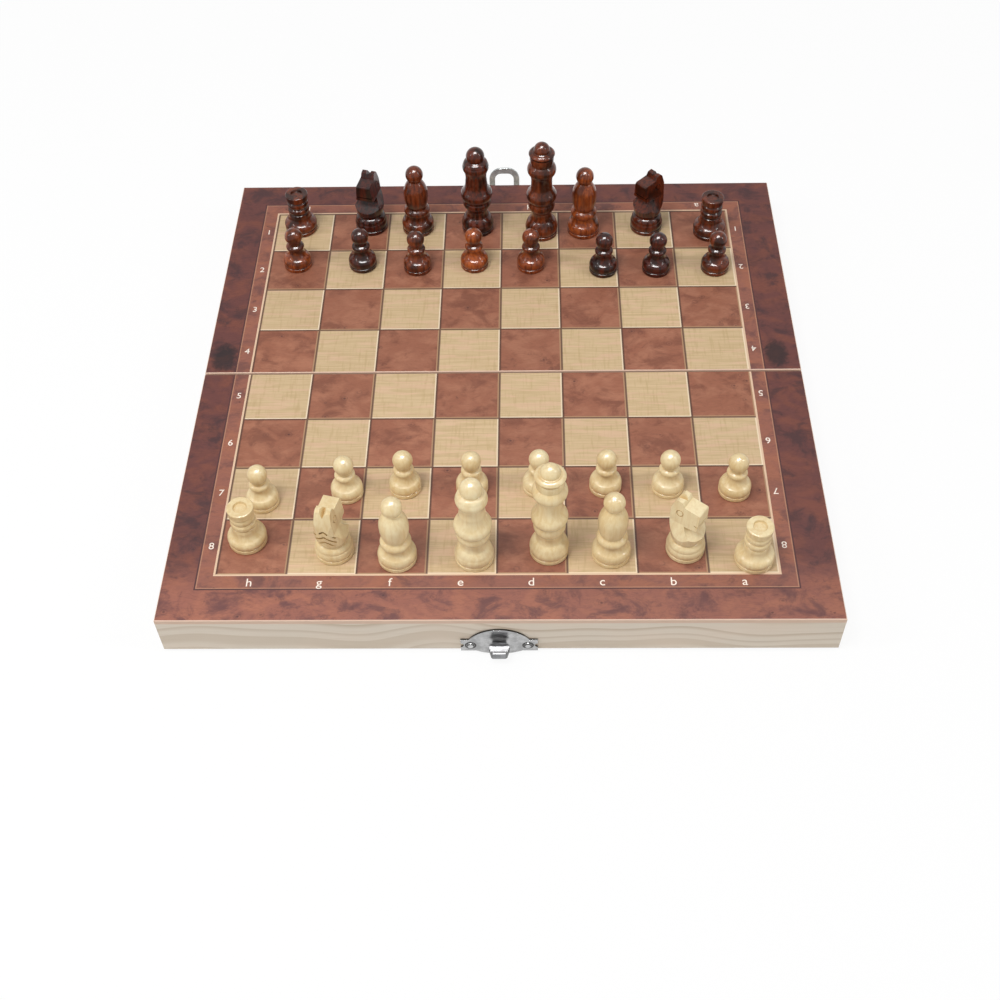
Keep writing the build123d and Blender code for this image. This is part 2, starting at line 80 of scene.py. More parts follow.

# Metal, in millimetres: the painted dark reflection in the dimple over the nose and the radii of
# painted dark rings at the screws
DIMPLE_HEIGHT = 3.2
DIMPLE_HALF_HEIGHT = 3.2
DIMPLE_HALF_WIDTH = 4.2
SCREW_RING = (1.8, 2.5)
SCREW_RIM = (1.2, 1.6)
SCREW_RING_SOFT = 0.15
PLATE_EDGE_ROUND = 0.45

# Pine, in millimetres
PINE_RING = 7.0


def srgb(r, g, b):
    """A colour as written for a screen, 0 to 255, in Blender's linear values."""
    parts = [c / 255 for c in (r, g, b)]
    linear = [c / 12.92 if c <= 0.04045 else ((c + 0.055) / 1.055) ** 2.4 for c in parts]
    return (*linear, 1.0)


# Printed burl: ground, warm clouds and dark patches of each zone, as 0 to 255
BURL_SQUARES = ((149, 93, 70), (163, 107, 82), (120, 70, 52))
BURL_STRIP = ((144, 90, 74), (156, 97, 74), (102, 64, 60))
BURL_BORDER = ((100, 55, 50), (116, 64, 51), (60, 35, 38))
BURL_NEAR_BORDER = ((150, 92, 76), (164, 102, 80), (90, 52, 54))
BURL_EYE = srgb(66, 38, 38)
BURL_EYE_SPACING = (7.5, 6.5, 7.0)
BURL_KNOT = srgb(22, 13, 17)

# How far apart in the veneer the squares are cut, in millimetres, and how much their tone varies
VENEER_SPREAD = 400.0
SQUARE_TONE_SPREAD = 0.08

# Printed maple
MAPLE = srgb(206, 180, 141)
MAPLE_STREAK = srgb(192, 165, 125)
MAPLE_CROSS_LINE = srgb(180, 152, 108)
MAPLE_FLAME = srgb(216, 178, 150)

# Printed lines
SQUARE_DARK_EDGE = srgb(84, 52, 40)
DARK_SQUARE_PALE_EDGE = srgb(170, 132, 100)
LIGHT_SQUARE_PALE_EDGE = srgb(232, 212, 182)
GRID_LINE_COLOUR = srgb(222, 190, 160)
STRIP_LINE_COLOUR = srgb(78, 42, 42)
STRIP_GLINT_COLOUR = srgb(196, 148, 116)

# The panel's bare edge, and the painted highlight along its top
EDGE_WOOD_DARK = srgb(196, 166, 146)
EDGE_WOOD_PALE = srgb(214, 188, 168)
EDGE_GLINT_COLOUR = srgb(222, 192, 172)

# Pine
EARLY_WOOD = srgb(208, 196, 180)
LATE_WOOD = srgb(178, 158, 134)
PINE_FIBRE = srgb(184, 164, 140)
PINE_CLOUD = srgb(220, 196, 174)

# Metal, ink and the floor
NICKEL = (186, 186, 186)
NOSE_NICKEL = (150, 150, 152)
LOOP_NICKEL = (200, 206, 206)
HINGE_STEEL = (196, 192, 180)
SCREW_STEEL = (206, 206, 206)
# The near-black painted into the metal as shade and dark reflections
METAL_PAINTED_DARK = srgb(44, 41, 38)
INK_WHITE = srgb(250, 240, 228)
INK_WORN = srgb(238, 220, 204)
FLOOR_PAPER = srgb(240, 240, 240)


class Shader:
    """One node material, built with short calls that each return a socket."""

    def __init__(self, name):
        self.material = bpy.data.materials.new(name)
        self.material.use_nodes = True
        self.tree = self.material.node_tree
        self.tree.nodes.clear()
        self.surface = self.node("ShaderNodeBsdfPrincipled")
        output = self.node("ShaderNodeOutputMaterial")
        self.tree.links.new(self.surface.outputs["BSDF"], output.inputs["Surface"])

    def node(self, kind, **settings):
        """A new node with its settings."""
        made = self.tree.nodes.new(kind)
        for key, value in settings.items():
            setattr(made, key, value)
        return made

    def put(self, socket, value):
        """Links a socket to the input, or writes a plain value in it."""
        if isinstance(value, bpy.types.NodeSocket):
            self.tree.links.new(value, socket)
        else:
            socket.default_value = value

    def set(self, **values):
        """Sets inputs of the surface shader, such as Base_Color."""
        for key, value in values.items():
            self.put(self.surface.inputs[key.replace("_", " ")], value)

    def math(self, operation, a, b=0.0, c=0.0):
        made = self.node("ShaderNodeMath", operation=operation)
        for socket, value in zip(made.inputs, (a, b, c)):
            self.put(socket, value)
        return made.outputs[0]

    def chain(self, operation, first, *rest):
        """One operation over three values or more, such as a sum."""
        for value in rest:
            first = self.math(operation, first, value)
        return first

    def band(self, value, low, high, soft=0.0):
        """1 where value is from low to high, with soft edges."""
        if not soft:
            above = self.math("GREATER_THAN", value, low)
            return self.math("MULTIPLY", above, self.math("LESS_THAN", value, high))
        rise = self.remap(value, low - soft, low + soft)
        return self.math("MULTIPLY", rise, self.remap(value, high + soft, high - soft))

    def remap(self, value, low, high, to_low=0.0, to_high=1.0):
        """Eases from to_low, where value is low, to to_high, where it is high, and stays there."""
        made = self.node("ShaderNodeMapRange", interpolation_type="SMOOTHSTEP")
        for socket, number in zip(made.inputs, (value, low, high, to_low, to_high)):
            self.put(socket, number)
        return made.outputs["Result"]

    def mix(self, factor, a, b, blend="MIX"):
        made = self.node("ShaderNodeMix", data_type="RGBA", blend_type=blend)
        self.put(made.inputs[0], factor)
        self.put(made.inputs[6], a)
        self.put(made.inputs[7], b)
        return made.outputs[2]

    def mix_value(self, factor, a, b):
        made = self.node("ShaderNodeMix", data_type="FLOAT")
        for socket, value in zip((made.inputs[0], made.inputs[2], made.inputs[3]), (factor, a, b)):
            self.put(socket, value)
        return made.outputs[0]

    def choose(self, factor, a, b):
        """Vector a where factor is 0, vector b where it is 1."""
        made = self.node("ShaderNodeMix", data_type="VECTOR")
        self.put(made.inputs[0], factor)
        self.put(made.inputs[4], a)
        self.put(made.inputs[5], b)
        return made.outputs[1]

    def place(self):
        """The point on the object in millimetres, as three sockets and a vector."""
        coordinates = self.node("ShaderNodeTexCoord").outputs["Object"]
        vector = self.vector_math("SCALE", coordinates, scale=1 / MM)
        split = self.node("ShaderNodeSeparateXYZ")
        self.put(split.inputs[0], vector)
        return (*split.outputs, vector)

    def vector(self, x, y, z):
        made = self.node("ShaderNodeCombineXYZ")
        for socket, value in zip(made.inputs, (x, y, z)):
            self.put(socket, value)
        return made.outputs[0]

    def vector_math(self, operation, a, b=None, scale=None):
        made = self.node("ShaderNodeVectorMath", operation=operation)
        self.put(made.inputs[0], a)
        if b is not None:
            self.put(made.inputs[1], b)
        if scale is not None:
            self.put(made.inputs["Scale"], scale)
        return made.outputs["Vector"]

    def noise(self, vector, size, stretch=(1, 1, 1), detail=3.0, rough=0.5, bend=0.0):
        """Fractal noise with features about size millimetres across, drawn out by stretch."""
        scaled = self.vector_math("DIVIDE", vector, tuple(size * s for s in stretch))
        made = self.node("ShaderNodeTexNoise")
        self.put(made.inputs["Vector"], scaled)
        made.inputs["Scale"].default_value = 1.0
        made.inputs["Detail"].default_value = detail
        made.inputs["Roughness"].default_value = rough
        made.inputs["Distortion"].default_value = bend
        return made.outputs["Fac"]

    def hollow(self, distance, from_depth, to_depth, local=True):
        """0 on open ground, 1 deep in a cut or corner that is about distance millimetres wide."""
        made = self.node("ShaderNodeAmbientOcclusion", samples=4, only_local=local)
        made.inputs["Distance"].default_value = distance * MM
        return self.remap(made.outputs["AO"], from_depth, to_depth)

    def bump(self, height, distance, strength=1.0, edge_round=0.0):
        """Relief up to distance millimetres, over edges rounded by edge_round millimetres."""
        made = self.node("ShaderNodeBump")
        if edge_round:
            rounded = self.node("ShaderNodeBevel", samples=4)
            rounded.inputs["Radius"].default_value = edge_round * MM
            self.put(made.inputs["Normal"], rounded.outputs["Normal"])
        made.inputs["Strength"].default_value = strength
        made.inputs["Distance"].default_value = distance * MM
        self.put(made.inputs["Height"], height)
        self.put(self.surface.inputs["Normal"], made.outputs["Normal"])


def burl(s, place, base, warm, patch):
    """Figured burl veneer as it is printed: clouds, curling lines, dark smudges and small eyes."""
    clouds = s.noise(place, 10, (1.5, 1, 1), detail=4, bend=0.8)
    colour = s.mix(s.remap(clouds, 0.40, 0.64), base, warm)
    curl = s.noise(place, 5.0, (2.6, 1, 1), detail=4, rough=0.6, bend=1.6)
    lines = s.band(curl, 0.46, 0.49, 0.03)
    colour = s.mix(s.math("MULTIPLY", lines, 0.3), colour, patch)
    smudge = s.noise(place, 12, (1.2, 1, 1), detail=5, rough=0.66, bend=0.5)
    colour = s.mix(s.math("MULTIPLY", s.remap(smudge, 0.46, 0.66), 0.8), colour, patch)
    eyes = s.node("ShaderNodeTexVoronoi")
    s.put(eyes.inputs["Vector"], s.vector_math("DIVIDE", place, BURL_EYE_SPACING))
    eyes.inputs["Scale"].default_value = 1.0
    rare = s.remap(smudge, 0.44, 0.54)
    distance = eyes.outputs["Distance"]
    ring = s.math("MULTIPLY", s.band(distance, 0.17, 0.22, 0.04), 0.4)
    spot = s.math("MAXIMUM", s.remap(distance, 0.13, 0.02), ring)
    colour = s.mix(s.math("MULTIPLY", s.math("MULTIPLY", spot, rare), 0.75), colour, BURL_EYE)
    speck = s.noise(place, 0.8, (2.6, 1, 1), detail=2)
    tone = s.math("MULTIPLY_ADD", speck, 0.28, 0.86)
    return s.mix(1.0, colour, s.vector(tone, tone, tone), "MULTIPLY")


def maple(s, place):
    """Pale printed maple: fine streaks along X, faint lines across them and soft clouds."""
    streak = s.noise(place, 0.8, (24, 1, 1), detail=4, rough=0.6)
    colour = s.mix(s.remap(streak, 0.36, 0.68), MAPLE, MAPLE_STREAK)
    cross = s.noise(place, 1.1, (1, 10, 1), detail=3)
    colour = s.mix(s.math("MULTIPLY", s.remap(cross, 0.50, 0.72), 0.5), colour, MAPLE_CROSS_LINE)
    flame = s.noise(place, 3.0, (6, 1, 1), detail=3, bend=0.6)
    return s.mix(s.math("MULTIPLY", s.remap(flame, 0.48, 0.66), 0.5), colour, MAPLE_FLAME)


def knots(s, across, y, place):
    """1 in the dark knots of the border's veneer, one on each side just beyond the seam."""
    beside = s.math("DIVIDE", s.math("SUBTRACT", across, KNOT_ACROSS), KNOT_HALF_WIDTH)
    beyond = s.math("DIVIDE", s.math("SUBTRACT", y, KNOT_ALONG), KNOT_HALF_LENGTH)
    away = s.math("ADD", s.math("POWER", beside, 2.0), s.math("POWER", beyond, 2.0))
    ragged = s.math("MULTIPLY_ADD", s.noise(place, 4, detail=4, bend=1.0), 1.6, -0.8)
    return s.math("MULTIPLY", s.remap(s.math("ADD", away, ragged), 1.2, 0.2), 0.8)


def board_print():
    """The panels: the printed playing face on top, bare wood on the edges and underneath."""
    s = Shader("board_print")
    true_x, y, z, point = s.place()
    x = s.math("SUBTRACT", true_x, PRINT_SHIFT)
    vector = s.vector(x, y, z)
    across, along = s.math("ABSOLUTE", x), s.math("ABSOLUTE", y)
    out = s.math("MAXIMUM", across, along)

    column_at = s.math("DIVIDE", s.math("ADD", x, GRID_HALF), SQUARE)
    row_at = s.math("DIVIDE", s.math("ADD", y, GRID_HALF), SQUARE)
    column, row = s.math("FLOOR", column_at), s.math("FLOOR", row_at)
    u = s.math("MULTIPLY", s.math("FRACT", column_at), SQUARE)
    v = s.math("MULTIPLY", s.math("FRACT", row_at), SQUARE)
    light = s.math("MODULO", s.chain("ADD", column, row, ABOVE_ZERO), 2.0)

    # Each square is cut from another place of the veneer
    chance = s.node("ShaderNodeTexWhiteNoise", noise_dimensions="2D")
    s.put(chance.inputs["Vector"], s.vector(column, row, 0.0))
    jump = s.vector_math("SCALE", chance.outputs["Color"], scale=VENEER_SPREAD)
    outside = s.math("GREATER_THAN", out, GRID_HALF)
    in_border = s.math("GREATER_THAN", out, STRIP_OUTER)
    veneer = s.choose(outside, s.vector_math("ADD", vector, jump), vector)

    # Paler near edge: partly the print's own tone and partly painted sheen, darkening towards the
    # right
    near_side = s.remap(y, NEAR_TONE_START, NEAR_TONE_END)
    border = [
        s.mix(near_side, srgb(*far), srgb(*near))
        for far, near in zip(BURL_BORDER, BURL_NEAR_BORDER)
    ]
    tones = [
        s.mix(in_border, s.mix(outside, srgb(*square), srgb(*strip)), edge)
        for square, strip, edge in zip(BURL_SQUARES, BURL_STRIP, border)
    ]
    red = burl(s, veneer, *tones)
    right = s.remap(x, -GRID_HALF, GRID_HALF, 1.0, RIGHT_TONE)
    right = s.mix_value(near_side, 1.0, right)
    red = s.mix(1.0, red, s.vector(right, right, right), "MULTIPLY")
    knot = s.math("MULTIPLY", knots(s, across, y, vector), in_border)
    red = s.mix(knot, red, BURL_KNOT)
    face = s.mix(light, red, maple(s, veneer))
    value = s.math("SUBTRACT", chance.outputs["Value"], 0.5)
    value = s.math("MULTIPLY_ADD", value, SQUARE_TONE_SPREAD, 1.0)
    face = s.mix(1.0, face, s.vector(value, value, value), "MULTIPLY")

    # Each square is printed as if let in: dark on its left and far edges, pale on the others
    far_edge = s.math("SUBTRACT", SQUARE, v)
    shade = s.remap(s.math("MINIMUM", u, far_edge), SQUARE_SHADE, SQUARE_SHADE / 2)
    right_edge = s.math("SUBTRACT", SQUARE, u)
    edge = s.math("LESS_THAN", s.math("MINIMUM", right_edge, v), SQUARE_EDGE)
    face = s.mix(edge, face, s.mix(light, DARK_SQUARE_PALE_EDGE, LIGHT_SQUARE_PALE_EDGE))
    face = s.mix(s.math("MULTIPLY", shade, 0.9), face, SQUARE_DARK_EDGE)
    face = s.mix(outside, face, GRID_LINE_COLOUR)
    face = s.mix(s.math("GREATER_THAN", out, GRID_HALF + GRID_LINE), face, red)
    glint = s.band(out, STRIP_OUTER - STRIP_LINE - STRIP_GLINT, STRIP_OUTER - STRIP_LINE)
    face = s.mix(s.math("MULTIPLY", glint, 0.5), face, STRIP_GLINT_COLOUR)
    face = s.mix(s.band(out, STRIP_OUTER - STRIP_LINE, STRIP_OUTER), face, STRIP_LINE_COLOUR)

    grain = s.noise(point, 0.5, (14, 14, 0.6), detail=3)
    raw = s.mix(grain, EDGE_WOOD_DARK, EDGE_WOOD_PALE)
    # Painted highlight: a paler band along the top of the bare edge
    raw = s.mix(s.math("GREATER_THAN", z, PLAYING_FACE / MM - EDGE_GLINT), raw, EDGE_GLINT_COLOUR)
    top = s.math("GREATER_THAN", z, PLAYING_FACE / MM - PRINT_DEPTH)
    s.set(Base_Color=s.mix(top, raw, face))
    s.set(Roughness=s.mix_value(top, 0.7, s.math("MULTIPLY_ADD", s.noise(point, 6), 0.12, 0.40)))
    s.set(Specular_IOR_Level=0.22)
    s.bump(s.noise(point, 0.6, (6, 1, 1), detail=2), 0.02, 0.25)
    return s.material


def pine(name, along_x, seed):
    """Plain-sawn pine: growth layers that sway along the rail, which lies along X or along Y."""
    s = Shader(name)
    x, y, z, vector = s.place()
    length, width = (x, y) if along_x else (y, x)
    at = s.vector(s.math("ADD", length, seed), width, z)
    sway = s.noise(at, 90, (1, 1.5, 1.5), detail=1)
    waver = s.noise(at, 22, (5, 1, 1), detail=2)
    rise = s.math("ADD", s.math("MULTIPLY", sway, 46.0), s.math("MULTIPLY", waver, 4.0))
    depth = s.chain("ADD", s.math("MULTIPLY", width, 0.35), z, rise)

    # Wet and dry years: rings of uneven width, some of them hardly darker
    years = s.noise(s.vector(seed, 0.0, depth), 14, detail=1)
    rings = s.math("DIVIDE", s.math("MULTIPLY_ADD", years, 22.0, depth), PINE_RING)
    ring = s.math("FRACT", rings)
    year = s.node("ShaderNodeTexWhiteNoise", noise_dimensions="1D")
    s.put(year.inputs["W"], s.math("FLOOR", rings))
    strength = s.math("MULTIPLY_ADD", year.outputs["Value"], 0.6, 0.4)
    late = s.math("MULTIPLY", s.remap(ring, 0.45, 0.93), s.remap(ring, 1.0, 0.94))
    late = s.math("MULTIPLY", late, strength)
    colour = s.mix(late, EARLY_WOOD, LATE_WOOD)
    fibre = s.noise(at, 0.45, (60, 1, 1), detail=3)
    colour = s.mix(s.math("MULTIPLY", s.remap(fibre, 0.45, 0.8), 0.30), colour, PINE_FIBRE)
    cloud = s.noise(at, 30, (2, 1, 1), detail=2)
    colour = s.mix(s.math("MULTIPLY", s.remap(cloud, 0.45, 0.7), 0.30), colour, PINE_CLOUD)
    s.set(Base_Color=colour, Roughness=0.55, Coat_Weight=0.1, Coat_Roughness=0.3)
    height = s.math("ADD", s.math("MULTIPLY", fibre, 0.6), s.math("MULTIPLY", late, -0.4))
    s.bump(height, 0.06, 0.35)
    return s.material


def turned_wood(name, body, streak, deep, clouding, specular, gloss, coat, seed):
    """A lacquered turning: grain up the piece, clouds of stain, and painted shade in the cuts."""
    s = Shader(name)
    *_, vector = s.place()
    at = s.vector_math("ADD", vector, (seed * 17.0, seed * 5.0, 0.0))
    grain = s.noise(at, 1.5, (1, 1, 14), detail=4, rough=0.6, bend=0.4)
    cloud = s.noise(at, 8, (1, 1, 2), detail=3, bend=0.6)
    colour = s.mix(s.remap(grain, 0.38, 0.65), body, streak)
    colour = s.mix(s.math("MULTIPLY", s.remap(cloud, 0.42, 0.66), clouding), colour, deep)
    pore = s.noise(at, 0.22, (1, 1, 26), detail=2)
    colour = s.mix(s.math("MULTIPLY", s.remap(pore, 0.6, 0.8), 0.25), colour, deep)
    # Painted shade: the deep colour laid in cuts, corners and narrow waists, where the occlusion
    # finds them
    shade = s.math("MULTIPLY", s.hollow(3.4, 0.95, 0.40), 0.85)
    colour = s.mix(shade, colour, deep)
    s.set(Base_Color=colour, Specular_IOR_Level=specular)
    s.set(Roughness=s.math("MULTIPLY_ADD", grain, 0.12, gloss))
    s.set(Coat_Weight=coat, Coat_IOR=1.33, Coat_Roughness=0.1)
    lathe = s.noise(vector, 0.28, (30, 30, 1), detail=2)
    s.bump(lathe, 0.02, 0.3)
    return s.material


def plated(name, colour, rough, metallic=1.0, accent=None):
    """Plated steel with fine polishing lines, small changes of gloss and painted shade in its
    corners.
    The accent is a function that says where painted dark reflections and shade make the plating
    nearly black."""
    s = Shader(name)
    x, y, z, vector = s.place()
    brushed = s.noise(vector, 0.12, (18, 1, 1), detail=2)
    cloud = s.noise(vector, 3.0, detail=3)
    tone = s.mix(s.remap(cloud, 0.3, 0.7), srgb(*colour), srgb(*[c * 0.86 for c in colour]))
    # Painted shade: darker in corners and between parts, where the occlusion finds them
    painted_dark = s.hollow(1.6, 0.8, 0.3, local=False)
    if accent:
        painted_dark = s.math("MAXIMUM", painted_dark, accent(s, x, y, z))
    tone = s.mix(s.math("MULTIPLY", painted_dark, 0.9), tone, METAL_PAINTED_DARK)
    s.set(Base_Color=tone, Metallic=metallic)
    s.set(Roughness=s.math("MULTIPLY_ADD", cloud, 0.14, rough))
    s.bump(brushed, 0.008, 0.4, edge_round=PLATE_EDGE_ROUND)
    return s.material


def facing(s):
    """The object's own normal, as three sockets."""
    split = s.node("ShaderNodeSeparateXYZ")
    s.put(split.inputs[0], s.node("ShaderNodeTexCoord").outputs["Normal"])
    return split.outputs


def round_screws(s, x, z, ring):
    """A ring round each of the clasp's two screws, which stand at equal heights."""
    low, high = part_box("catch_screws")
    radius = (high.z - low.z) / 2
    across = s.math("SUBTRACT", s.math("ABSOLUTE", x), (high.x - radius) / MM)
    up = s.math("SUBTRACT", z, (low.z + high.z) / 2 / MM)
    distance = s.math("SQRT", s.math("ADD", s.math("POWER", across, 2.0), s.math("POWER", up, 2.0)))
    return s.band(distance, *ring, SCREW_RING_SOFT)


def far_accent(s, x, y, z):
    """Painted dark reflection on a plate's upward faces along its upper edge, and painted shade in
    the rings round its screws.
    """
    return s.math("MAXIMUM", s.remap(facing(s)[2], 0.5, 0.8), round_screws(s, x, z, SCREW_RING))


def plate_accent(s, x, y, z):
    """The near plate also has a painted dark reflection in the dimple over its nose."""
    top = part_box("catch_nose")[1].z / MM
    over = s.math("DIVIDE", s.math("SUBTRACT", z, top + DIMPLE_HEIGHT), DIMPLE_HALF_HEIGHT)
    beside = s.math("DIVIDE", x, DIMPLE_HALF_WIDTH)
    away = s.math("ADD", s.math("POWER", over, 2.0), s.math("POWER", beside, 2.0))
    dimple = s.math("MULTIPLY", s.remap(away, 1.2, 0.3), 0.8)
    return s.math("MAXIMUM", far_accent(s, x, y, z), dimple)


def screw_accent(s, x, y, z):
    """A painted dark reflection in a ring at the rim of each screw's head."""
    return round_screws(s, x, z, SCREW_RIM)


def nose_accent(s, x, y, z):
    """Painted dark reflections on the sides of the nose, and less so on its top."""
    across, _, up = facing(s)
    sides = s.math("MULTIPLY", s.remap(s.math("ABSOLUTE", across), 0.35, 0.7), 0.8)
    return s.math("MAXIMUM", sides, s.math("MULTIPLY", s.remap(up, 0.5, 0.9), 0.5))


def wear(node, material):
    """Gives a CAD node its finish."""
    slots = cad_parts[node].data.materials
    slots.clear()
    slots.append(material)


# Board
printed = board_print()
near_pine = pine("pine_long_rails", along_x=True, seed=0.0)
far_pine = pine("pine_far_rails", along_x=True, seed=340.0)
end_pine = pine("pine_end_rails", along_x=False, seed=720.0)
for half, along in (("front", near_pine), ("rear", far_pine)):
    wear(f"{half}_panel", printed)
    wear(f"{half}_outer_rail", along)
    wear(f"{half}_hinge_rail", along)
    wear(f"{half}_left_rail", end_pine)
    wear(f"{half}_right_rail", end_pine)

# Metal
plate_nickel = plated("plate_nickel", NICKEL, rough=0.14, accent=plate_accent)
nose_nickel = plated("nose_nickel", NOSE_NICKEL, rough=0.34, accent=nose_accent)
loop_nickel = plated("loop_nickel", LOOP_NICKEL, rough=0.18, metallic=0.6)
far_nickel = plated("far_plate_nickel", NICKEL, rough=0.14, accent=far_accent)
clasp_screw = plated("clasp_screw_nickel", SCREW_STEEL, rough=0.18, accent=screw_accent)
steel = plated("hinge_steel", HINGE_STEEL, rough=0.28)
screw = plated("screw_steel", SCREW_STEEL, rough=0.2)
CLASP_FINISH = {
    "catch_plate": plate_nickel,
    "catch_nose": nose_nickel,
    "catch_screws": clasp_screw,
    "hasp_loop": loop_nickel,
    "hasp_plate": far_nickel,
    "hasp_pin": far_nickel,
}
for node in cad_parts:
    if node in CLASP_FINISH:
        wear(node, CLASP_FINISH[node])
    elif node.endswith("screws"):
        wear(node, screw)
    elif "hinge" in node and "rail" not in node:
        wear(node, steel)

# Pieces. A stain from 0, orange brown, to 1, nearly black, for each dark piece
STAINS = {
    "rook_h": 0.55,
    "knight_g": 1.0,
    "bishop_f": 0.52,
    "queen": 0.8,
    "king": 0.5,
    "bishop_c": 0.15,
    "knight_b": 0.75,
    "rook_a": 0.6,
    "pawn_h": 0.1,
    "pawn_g": 0.8,
    "pawn_f": 0.45,
    "pawn_e": 0.0,
    "pawn_d": 0.3,
    "pawn_c": 0.9,
    "pawn_b": 1.0,
    "pawn_a": 0.6,
}


# Body, streak and deepest colour of the turned woods, as 0 to 255. The deepest colour is also their
# painted shade in cuts
BROWN_STAIN = ((170, 86, 36), (122, 52, 19), (58, 19, 7))
BLACK_STAIN = ((76, 24, 11), (32, 9, 5), (9, 3, 2))
PALE_WOOD = ((234, 217, 174), (227, 205, 158), (200, 165, 104))
WARM_WOOD = ((228, 207, 160), (220, 194, 143), (192, 154, 92))


def between(first, last, share):
    """Colours that are a share of the way from the first ones to the last ones."""
    return [
        srgb(*[a + (b - a) * share for a, b in zip(start, end)])
        for start, end in zip(first, last)
    ]


def dark_wood(node, stain):
    """Stained and lacquered wood, browner or blacker by its stain."""
    seed = 40 * stain + len(node)
    return turned_wood(
        f"{node}_wood",
        *between(BROWN_STAIN, BLACK_STAIN, stain),
        clouding=0.85,
        specular=0.1,
        gloss=0.25,
        coat=0.9,
        seed=seed,
    )


def light_wood(node, number):
    """Clear-lacquered pale wood, slightly warmer on some pieces than on others."""
    warmth = (number * 7 % 5) / 4
    seed = number + 1.0
    return turned_wood(
        f"{node}_wood",
        *between(PALE_WOOD, WARM_WOOD, warmth),
        clouding=0.3,
        specular=0.4,
        gloss=0.34,
        coat=0.7,
        seed=seed,
    )


for number, node in enumerate(sorted(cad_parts)):
    if node.startswith("dark_"):
        wear(node, dark_wood(node, STAINS[node.removeprefix("dark_")]))
    elif node.startswith("light_"):
        wear(node, light_wood(node, number))


# Printed letters and numbers
def label_ink():
    """White ink, worn in places."""
    s = Shader("label_ink")
    *_, vector = s.place()
    worn = s.noise(vector, 0.35, detail=2)
    s.set(Base_Color=s.mix(worn, INK_WHITE, INK_WORN), Roughness=0.5)
    return s.material


ink = label_ink()


def label(text, name, size, x, y, half_turn):
    """One printed character lying on the playing face, as a flat mesh."""
    curve = bpy.data.curves.new(name, "FONT")
    curve.body = text
    curve.size = size * MM
    curve.align_x = "CENTER"
    curve.align_y = "CENTER"
    curve.offset = LABEL_BOLD * MM
    curve.resolution_u = 6
    shape = bpy.data.objects.new(name + "_curve", curve)
    bpy.context.scene.collection.objects.link(shape)
    bpy.context.view_layer.update()
    mesh = bpy.data.meshes.new_from_object(shape)
    bpy.data.objects.remove(shape)
    turn = Matrix.Rotation(math.pi if half_turn else 0.0, 4, "Z")
    place = Matrix.Translation((x * MM, y * MM, PLAYING_FACE + LABEL_LIFT * MM))
    mesh.transform(place @ turn)
    mesh.materials.clear()
    mesh.materials.append(ink)
    made = bpy.data.objects.new(name, mesh)
    bpy.context.scene.collection.objects.link(made)
    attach(made, "front_half" if y < 0 else "rear_half")


for index, letter in enumerate(FILES):
    at = (index - 3.5) * SQUARE
    across = PRINT_SHIFT + at
    left, right = PRINT_SHIFT - RANK_LABEL_RADIUS, PRINT_SHIFT + RANK_LABEL_RADIUS
    rank = 8 - index
    label(letter, f"file_{letter}_near", FILE_LABEL_SIZE, across, -LABEL_RADIUS, False)
    label(letter, f"file_{letter}_far", FILE_LABEL_SIZE, across, LABEL_RADIUS, True)
    label(str(rank), f"rank_{rank}_left", RANK_LABEL_SIZE, left, at, False)
    label(str(rank), f"rank_{rank}_right", RANK_LABEL_SIZE, right, at, True)


# Camera, at the photograph's view. Its distance and target are in sides of the board
CAMERA_ELEVATION = 50.835
CAMERA_AZIMUTH = 1.998
CAMERA_ROLL = -1.806
CAMERA_DISTANCE = 2.0644 * 2 * HALF_BOARD
CAMERA_TARGET = Vector((-0.0001, -0.2771, 0.0)) * 2 * HALF_BOARD
CAMERA_LENS = 48.107
CAMERA_SENSOR = 36.0


def add_camera():
    """The camera on its ring round the target, rolled about its line of sight."""
    data = bpy.data.cameras.new("camera")
    data.lens = CAMERA_LENS
    data.sensor_width = CAMERA_SENSOR
    camera = bpy.data.objects.new("camera", data)
    bpy.context.scene.collection.objects.link(camera)
    elevation, azimuth = math.radians(CAMERA_ELEVATION), math.radians(CAMERA_AZIMUTH)
    level = math.cos(elevation)
    back = Vector(
        (math.sin(azimuth) * level, -math.cos(azimuth) * level, math.sin(elevation))
    )
    right = (-back).cross(Vector((0, 0, 1))).normalized()
    up = right.cross(-back)
    roll = math.radians(CAMERA_ROLL)
    tilted_right = right * math.cos(roll) + up * math.sin(roll)
    tilted_up = up * math.cos(roll) - right * math.sin(roll)
    turn = Matrix((tilted_right, tilted_up, back)).transposed().to_4x4()
    target = CAMERA_TARGET + Vector((0, 0, PLAYING_FACE))
    camera.matrix_world = Matrix.Translation(target + back * CAMERA_DISTANCE) @ turn
    bpy.context.scene.camera = camera


# Floor, lamps and background. These rays see plain white, for the backdrop and what reflects it
WHITE_RAYS = ("Is Camera Ray", "Is Glossy Ray", "Is Transmission Ray")
FLOOR_SIZE = 6.0
WORLD_LIGHT = 0.5
FLOOR_WHITE = 0.9


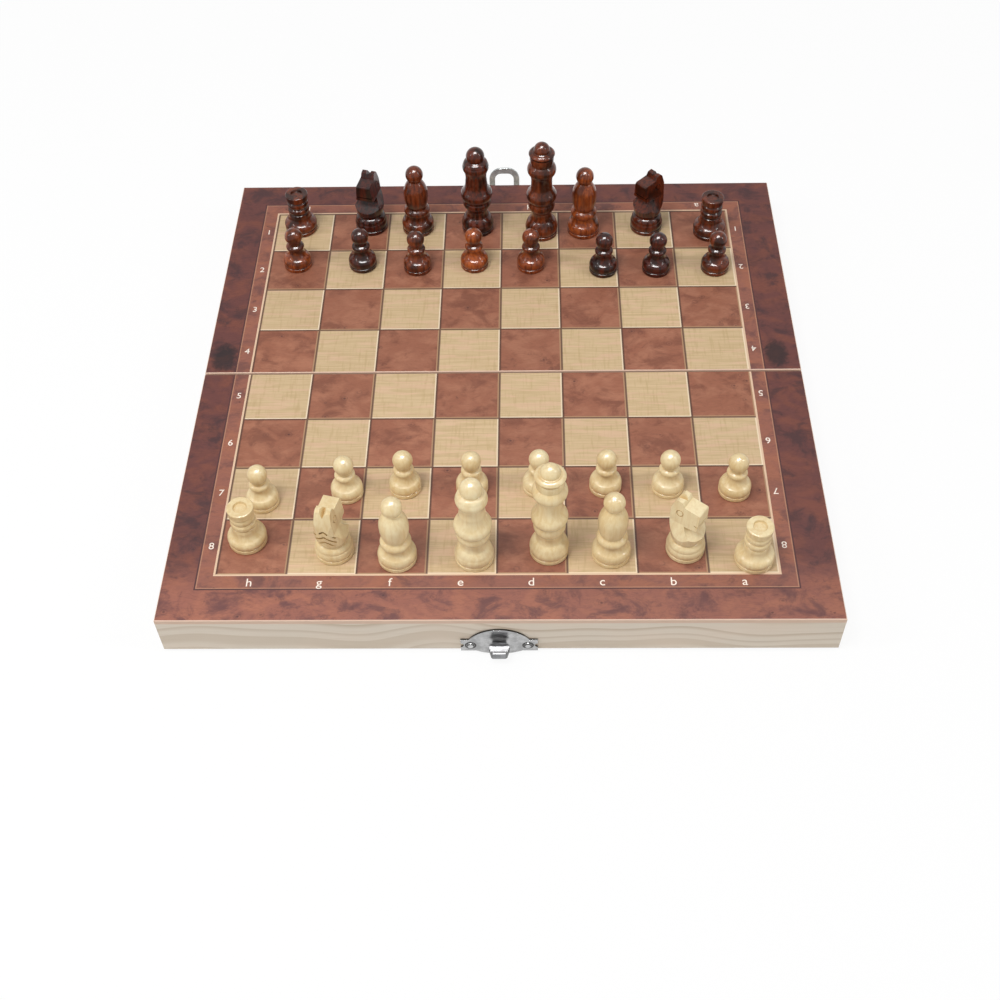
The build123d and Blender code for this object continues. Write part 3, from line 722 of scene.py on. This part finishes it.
def add_floor():
    """Pale paper that takes the object's shadow and is nearly plain white to the white rays."""
    bpy.ops.mesh.primitive_plane_add(size=FLOOR_SIZE, location=(0, 0, 0))
    floor = bpy.context.object
    floor.name = "floor"
    s = Shader("floor_paper")
    s.set(Base_Color=FLOOR_PAPER, Roughness=0.9)
    seen = s.node("ShaderNodeLightPath")
    glow = s.node("ShaderNodeEmission")
    glow.inputs["Color"].default_value = (1, 1, 1, 1)
    glow.inputs["Strength"].default_value = 1.0
    blend = s.node("ShaderNodeMixShader")
    rays = s.chain("MAXIMUM", *[seen.outputs[ray] for ray in WHITE_RAYS])
    share = s.math("MULTIPLY", rays, FLOOR_WHITE)
    s.put(blend.inputs[0], share)
    s.put(blend.inputs[1], s.surface.outputs["BSDF"])
    s.put(blend.inputs[2], glow.outputs[0])
    output = next(n for n in s.tree.nodes if n.type == "OUTPUT_MATERIAL")
    s.put(output.inputs["Surface"], blend.outputs[0])
    floor.data.materials.append(s.material)


def add_world():
    """An even white sky, full strength to the white rays and WORLD_LIGHT to all others."""
    world = bpy.data.worlds.new("studio")
    bpy.context.scene.world = world
    world.use_nodes = True
    tree = world.node_tree
    path = tree.nodes.new("ShaderNodeLightPath")
    seen = path.outputs[WHITE_RAYS[0]]
    for ray in WHITE_RAYS[1:]:
        either = tree.nodes.new("ShaderNodeMath")
        either.operation = "MAXIMUM"
        tree.links.new(seen, either.inputs[0])
        tree.links.new(path.outputs[ray], either.inputs[1])
        seen = either.outputs[0]
    strength = tree.nodes.new("ShaderNodeMapRange")
    tree.links.new(seen, strength.inputs["Value"])
    strength.inputs["To Min"].default_value = WORLD_LIGHT
    strength.inputs["To Max"].default_value = 1.0
    background = tree.nodes["Background"]
    background.inputs["Color"].default_value = (1, 1, 1, 1)
    tree.links.new(strength.outputs["Result"], background.inputs["Strength"])


def add_lamp(name, place, size, power, glint=False):
    """A soft box that faces the board's middle. One that is a glint only shows in reflections."""
    data = bpy.data.lights.new(name, "AREA")
    data.shape = "RECTANGLE"
    data.size, data.size_y = size
    data.energy = power
    lamp = bpy.data.objects.new(name, data)
    bpy.context.scene.collection.objects.link(lamp)
    lamp.location = place
    lamp.visible_diffuse = not glint
    lamp.rotation_euler = (-Vector(place)).to_track_quat("-Z", "Y").to_euler()


add_camera()
add_floor()
add_world()
add_lamp("key", place=(-0.35, -0.4, 1.15), size=(0.3, 0.3), power=6.0)
add_lamp("glint", place=(0.0, -0.12, 0.95), size=(0.5, 0.36), power=22.0, glint=True)
add_lamp("left_box", place=(-1.0, -0.3, 0.8), size=(0.08, 0.5), power=3.0)
add_lamp("right_box", place=(1.0, -0.3, 0.8), size=(0.08, 0.5), power=3.0)
bpy.context.scene.view_settings.view_transform = "Standard"
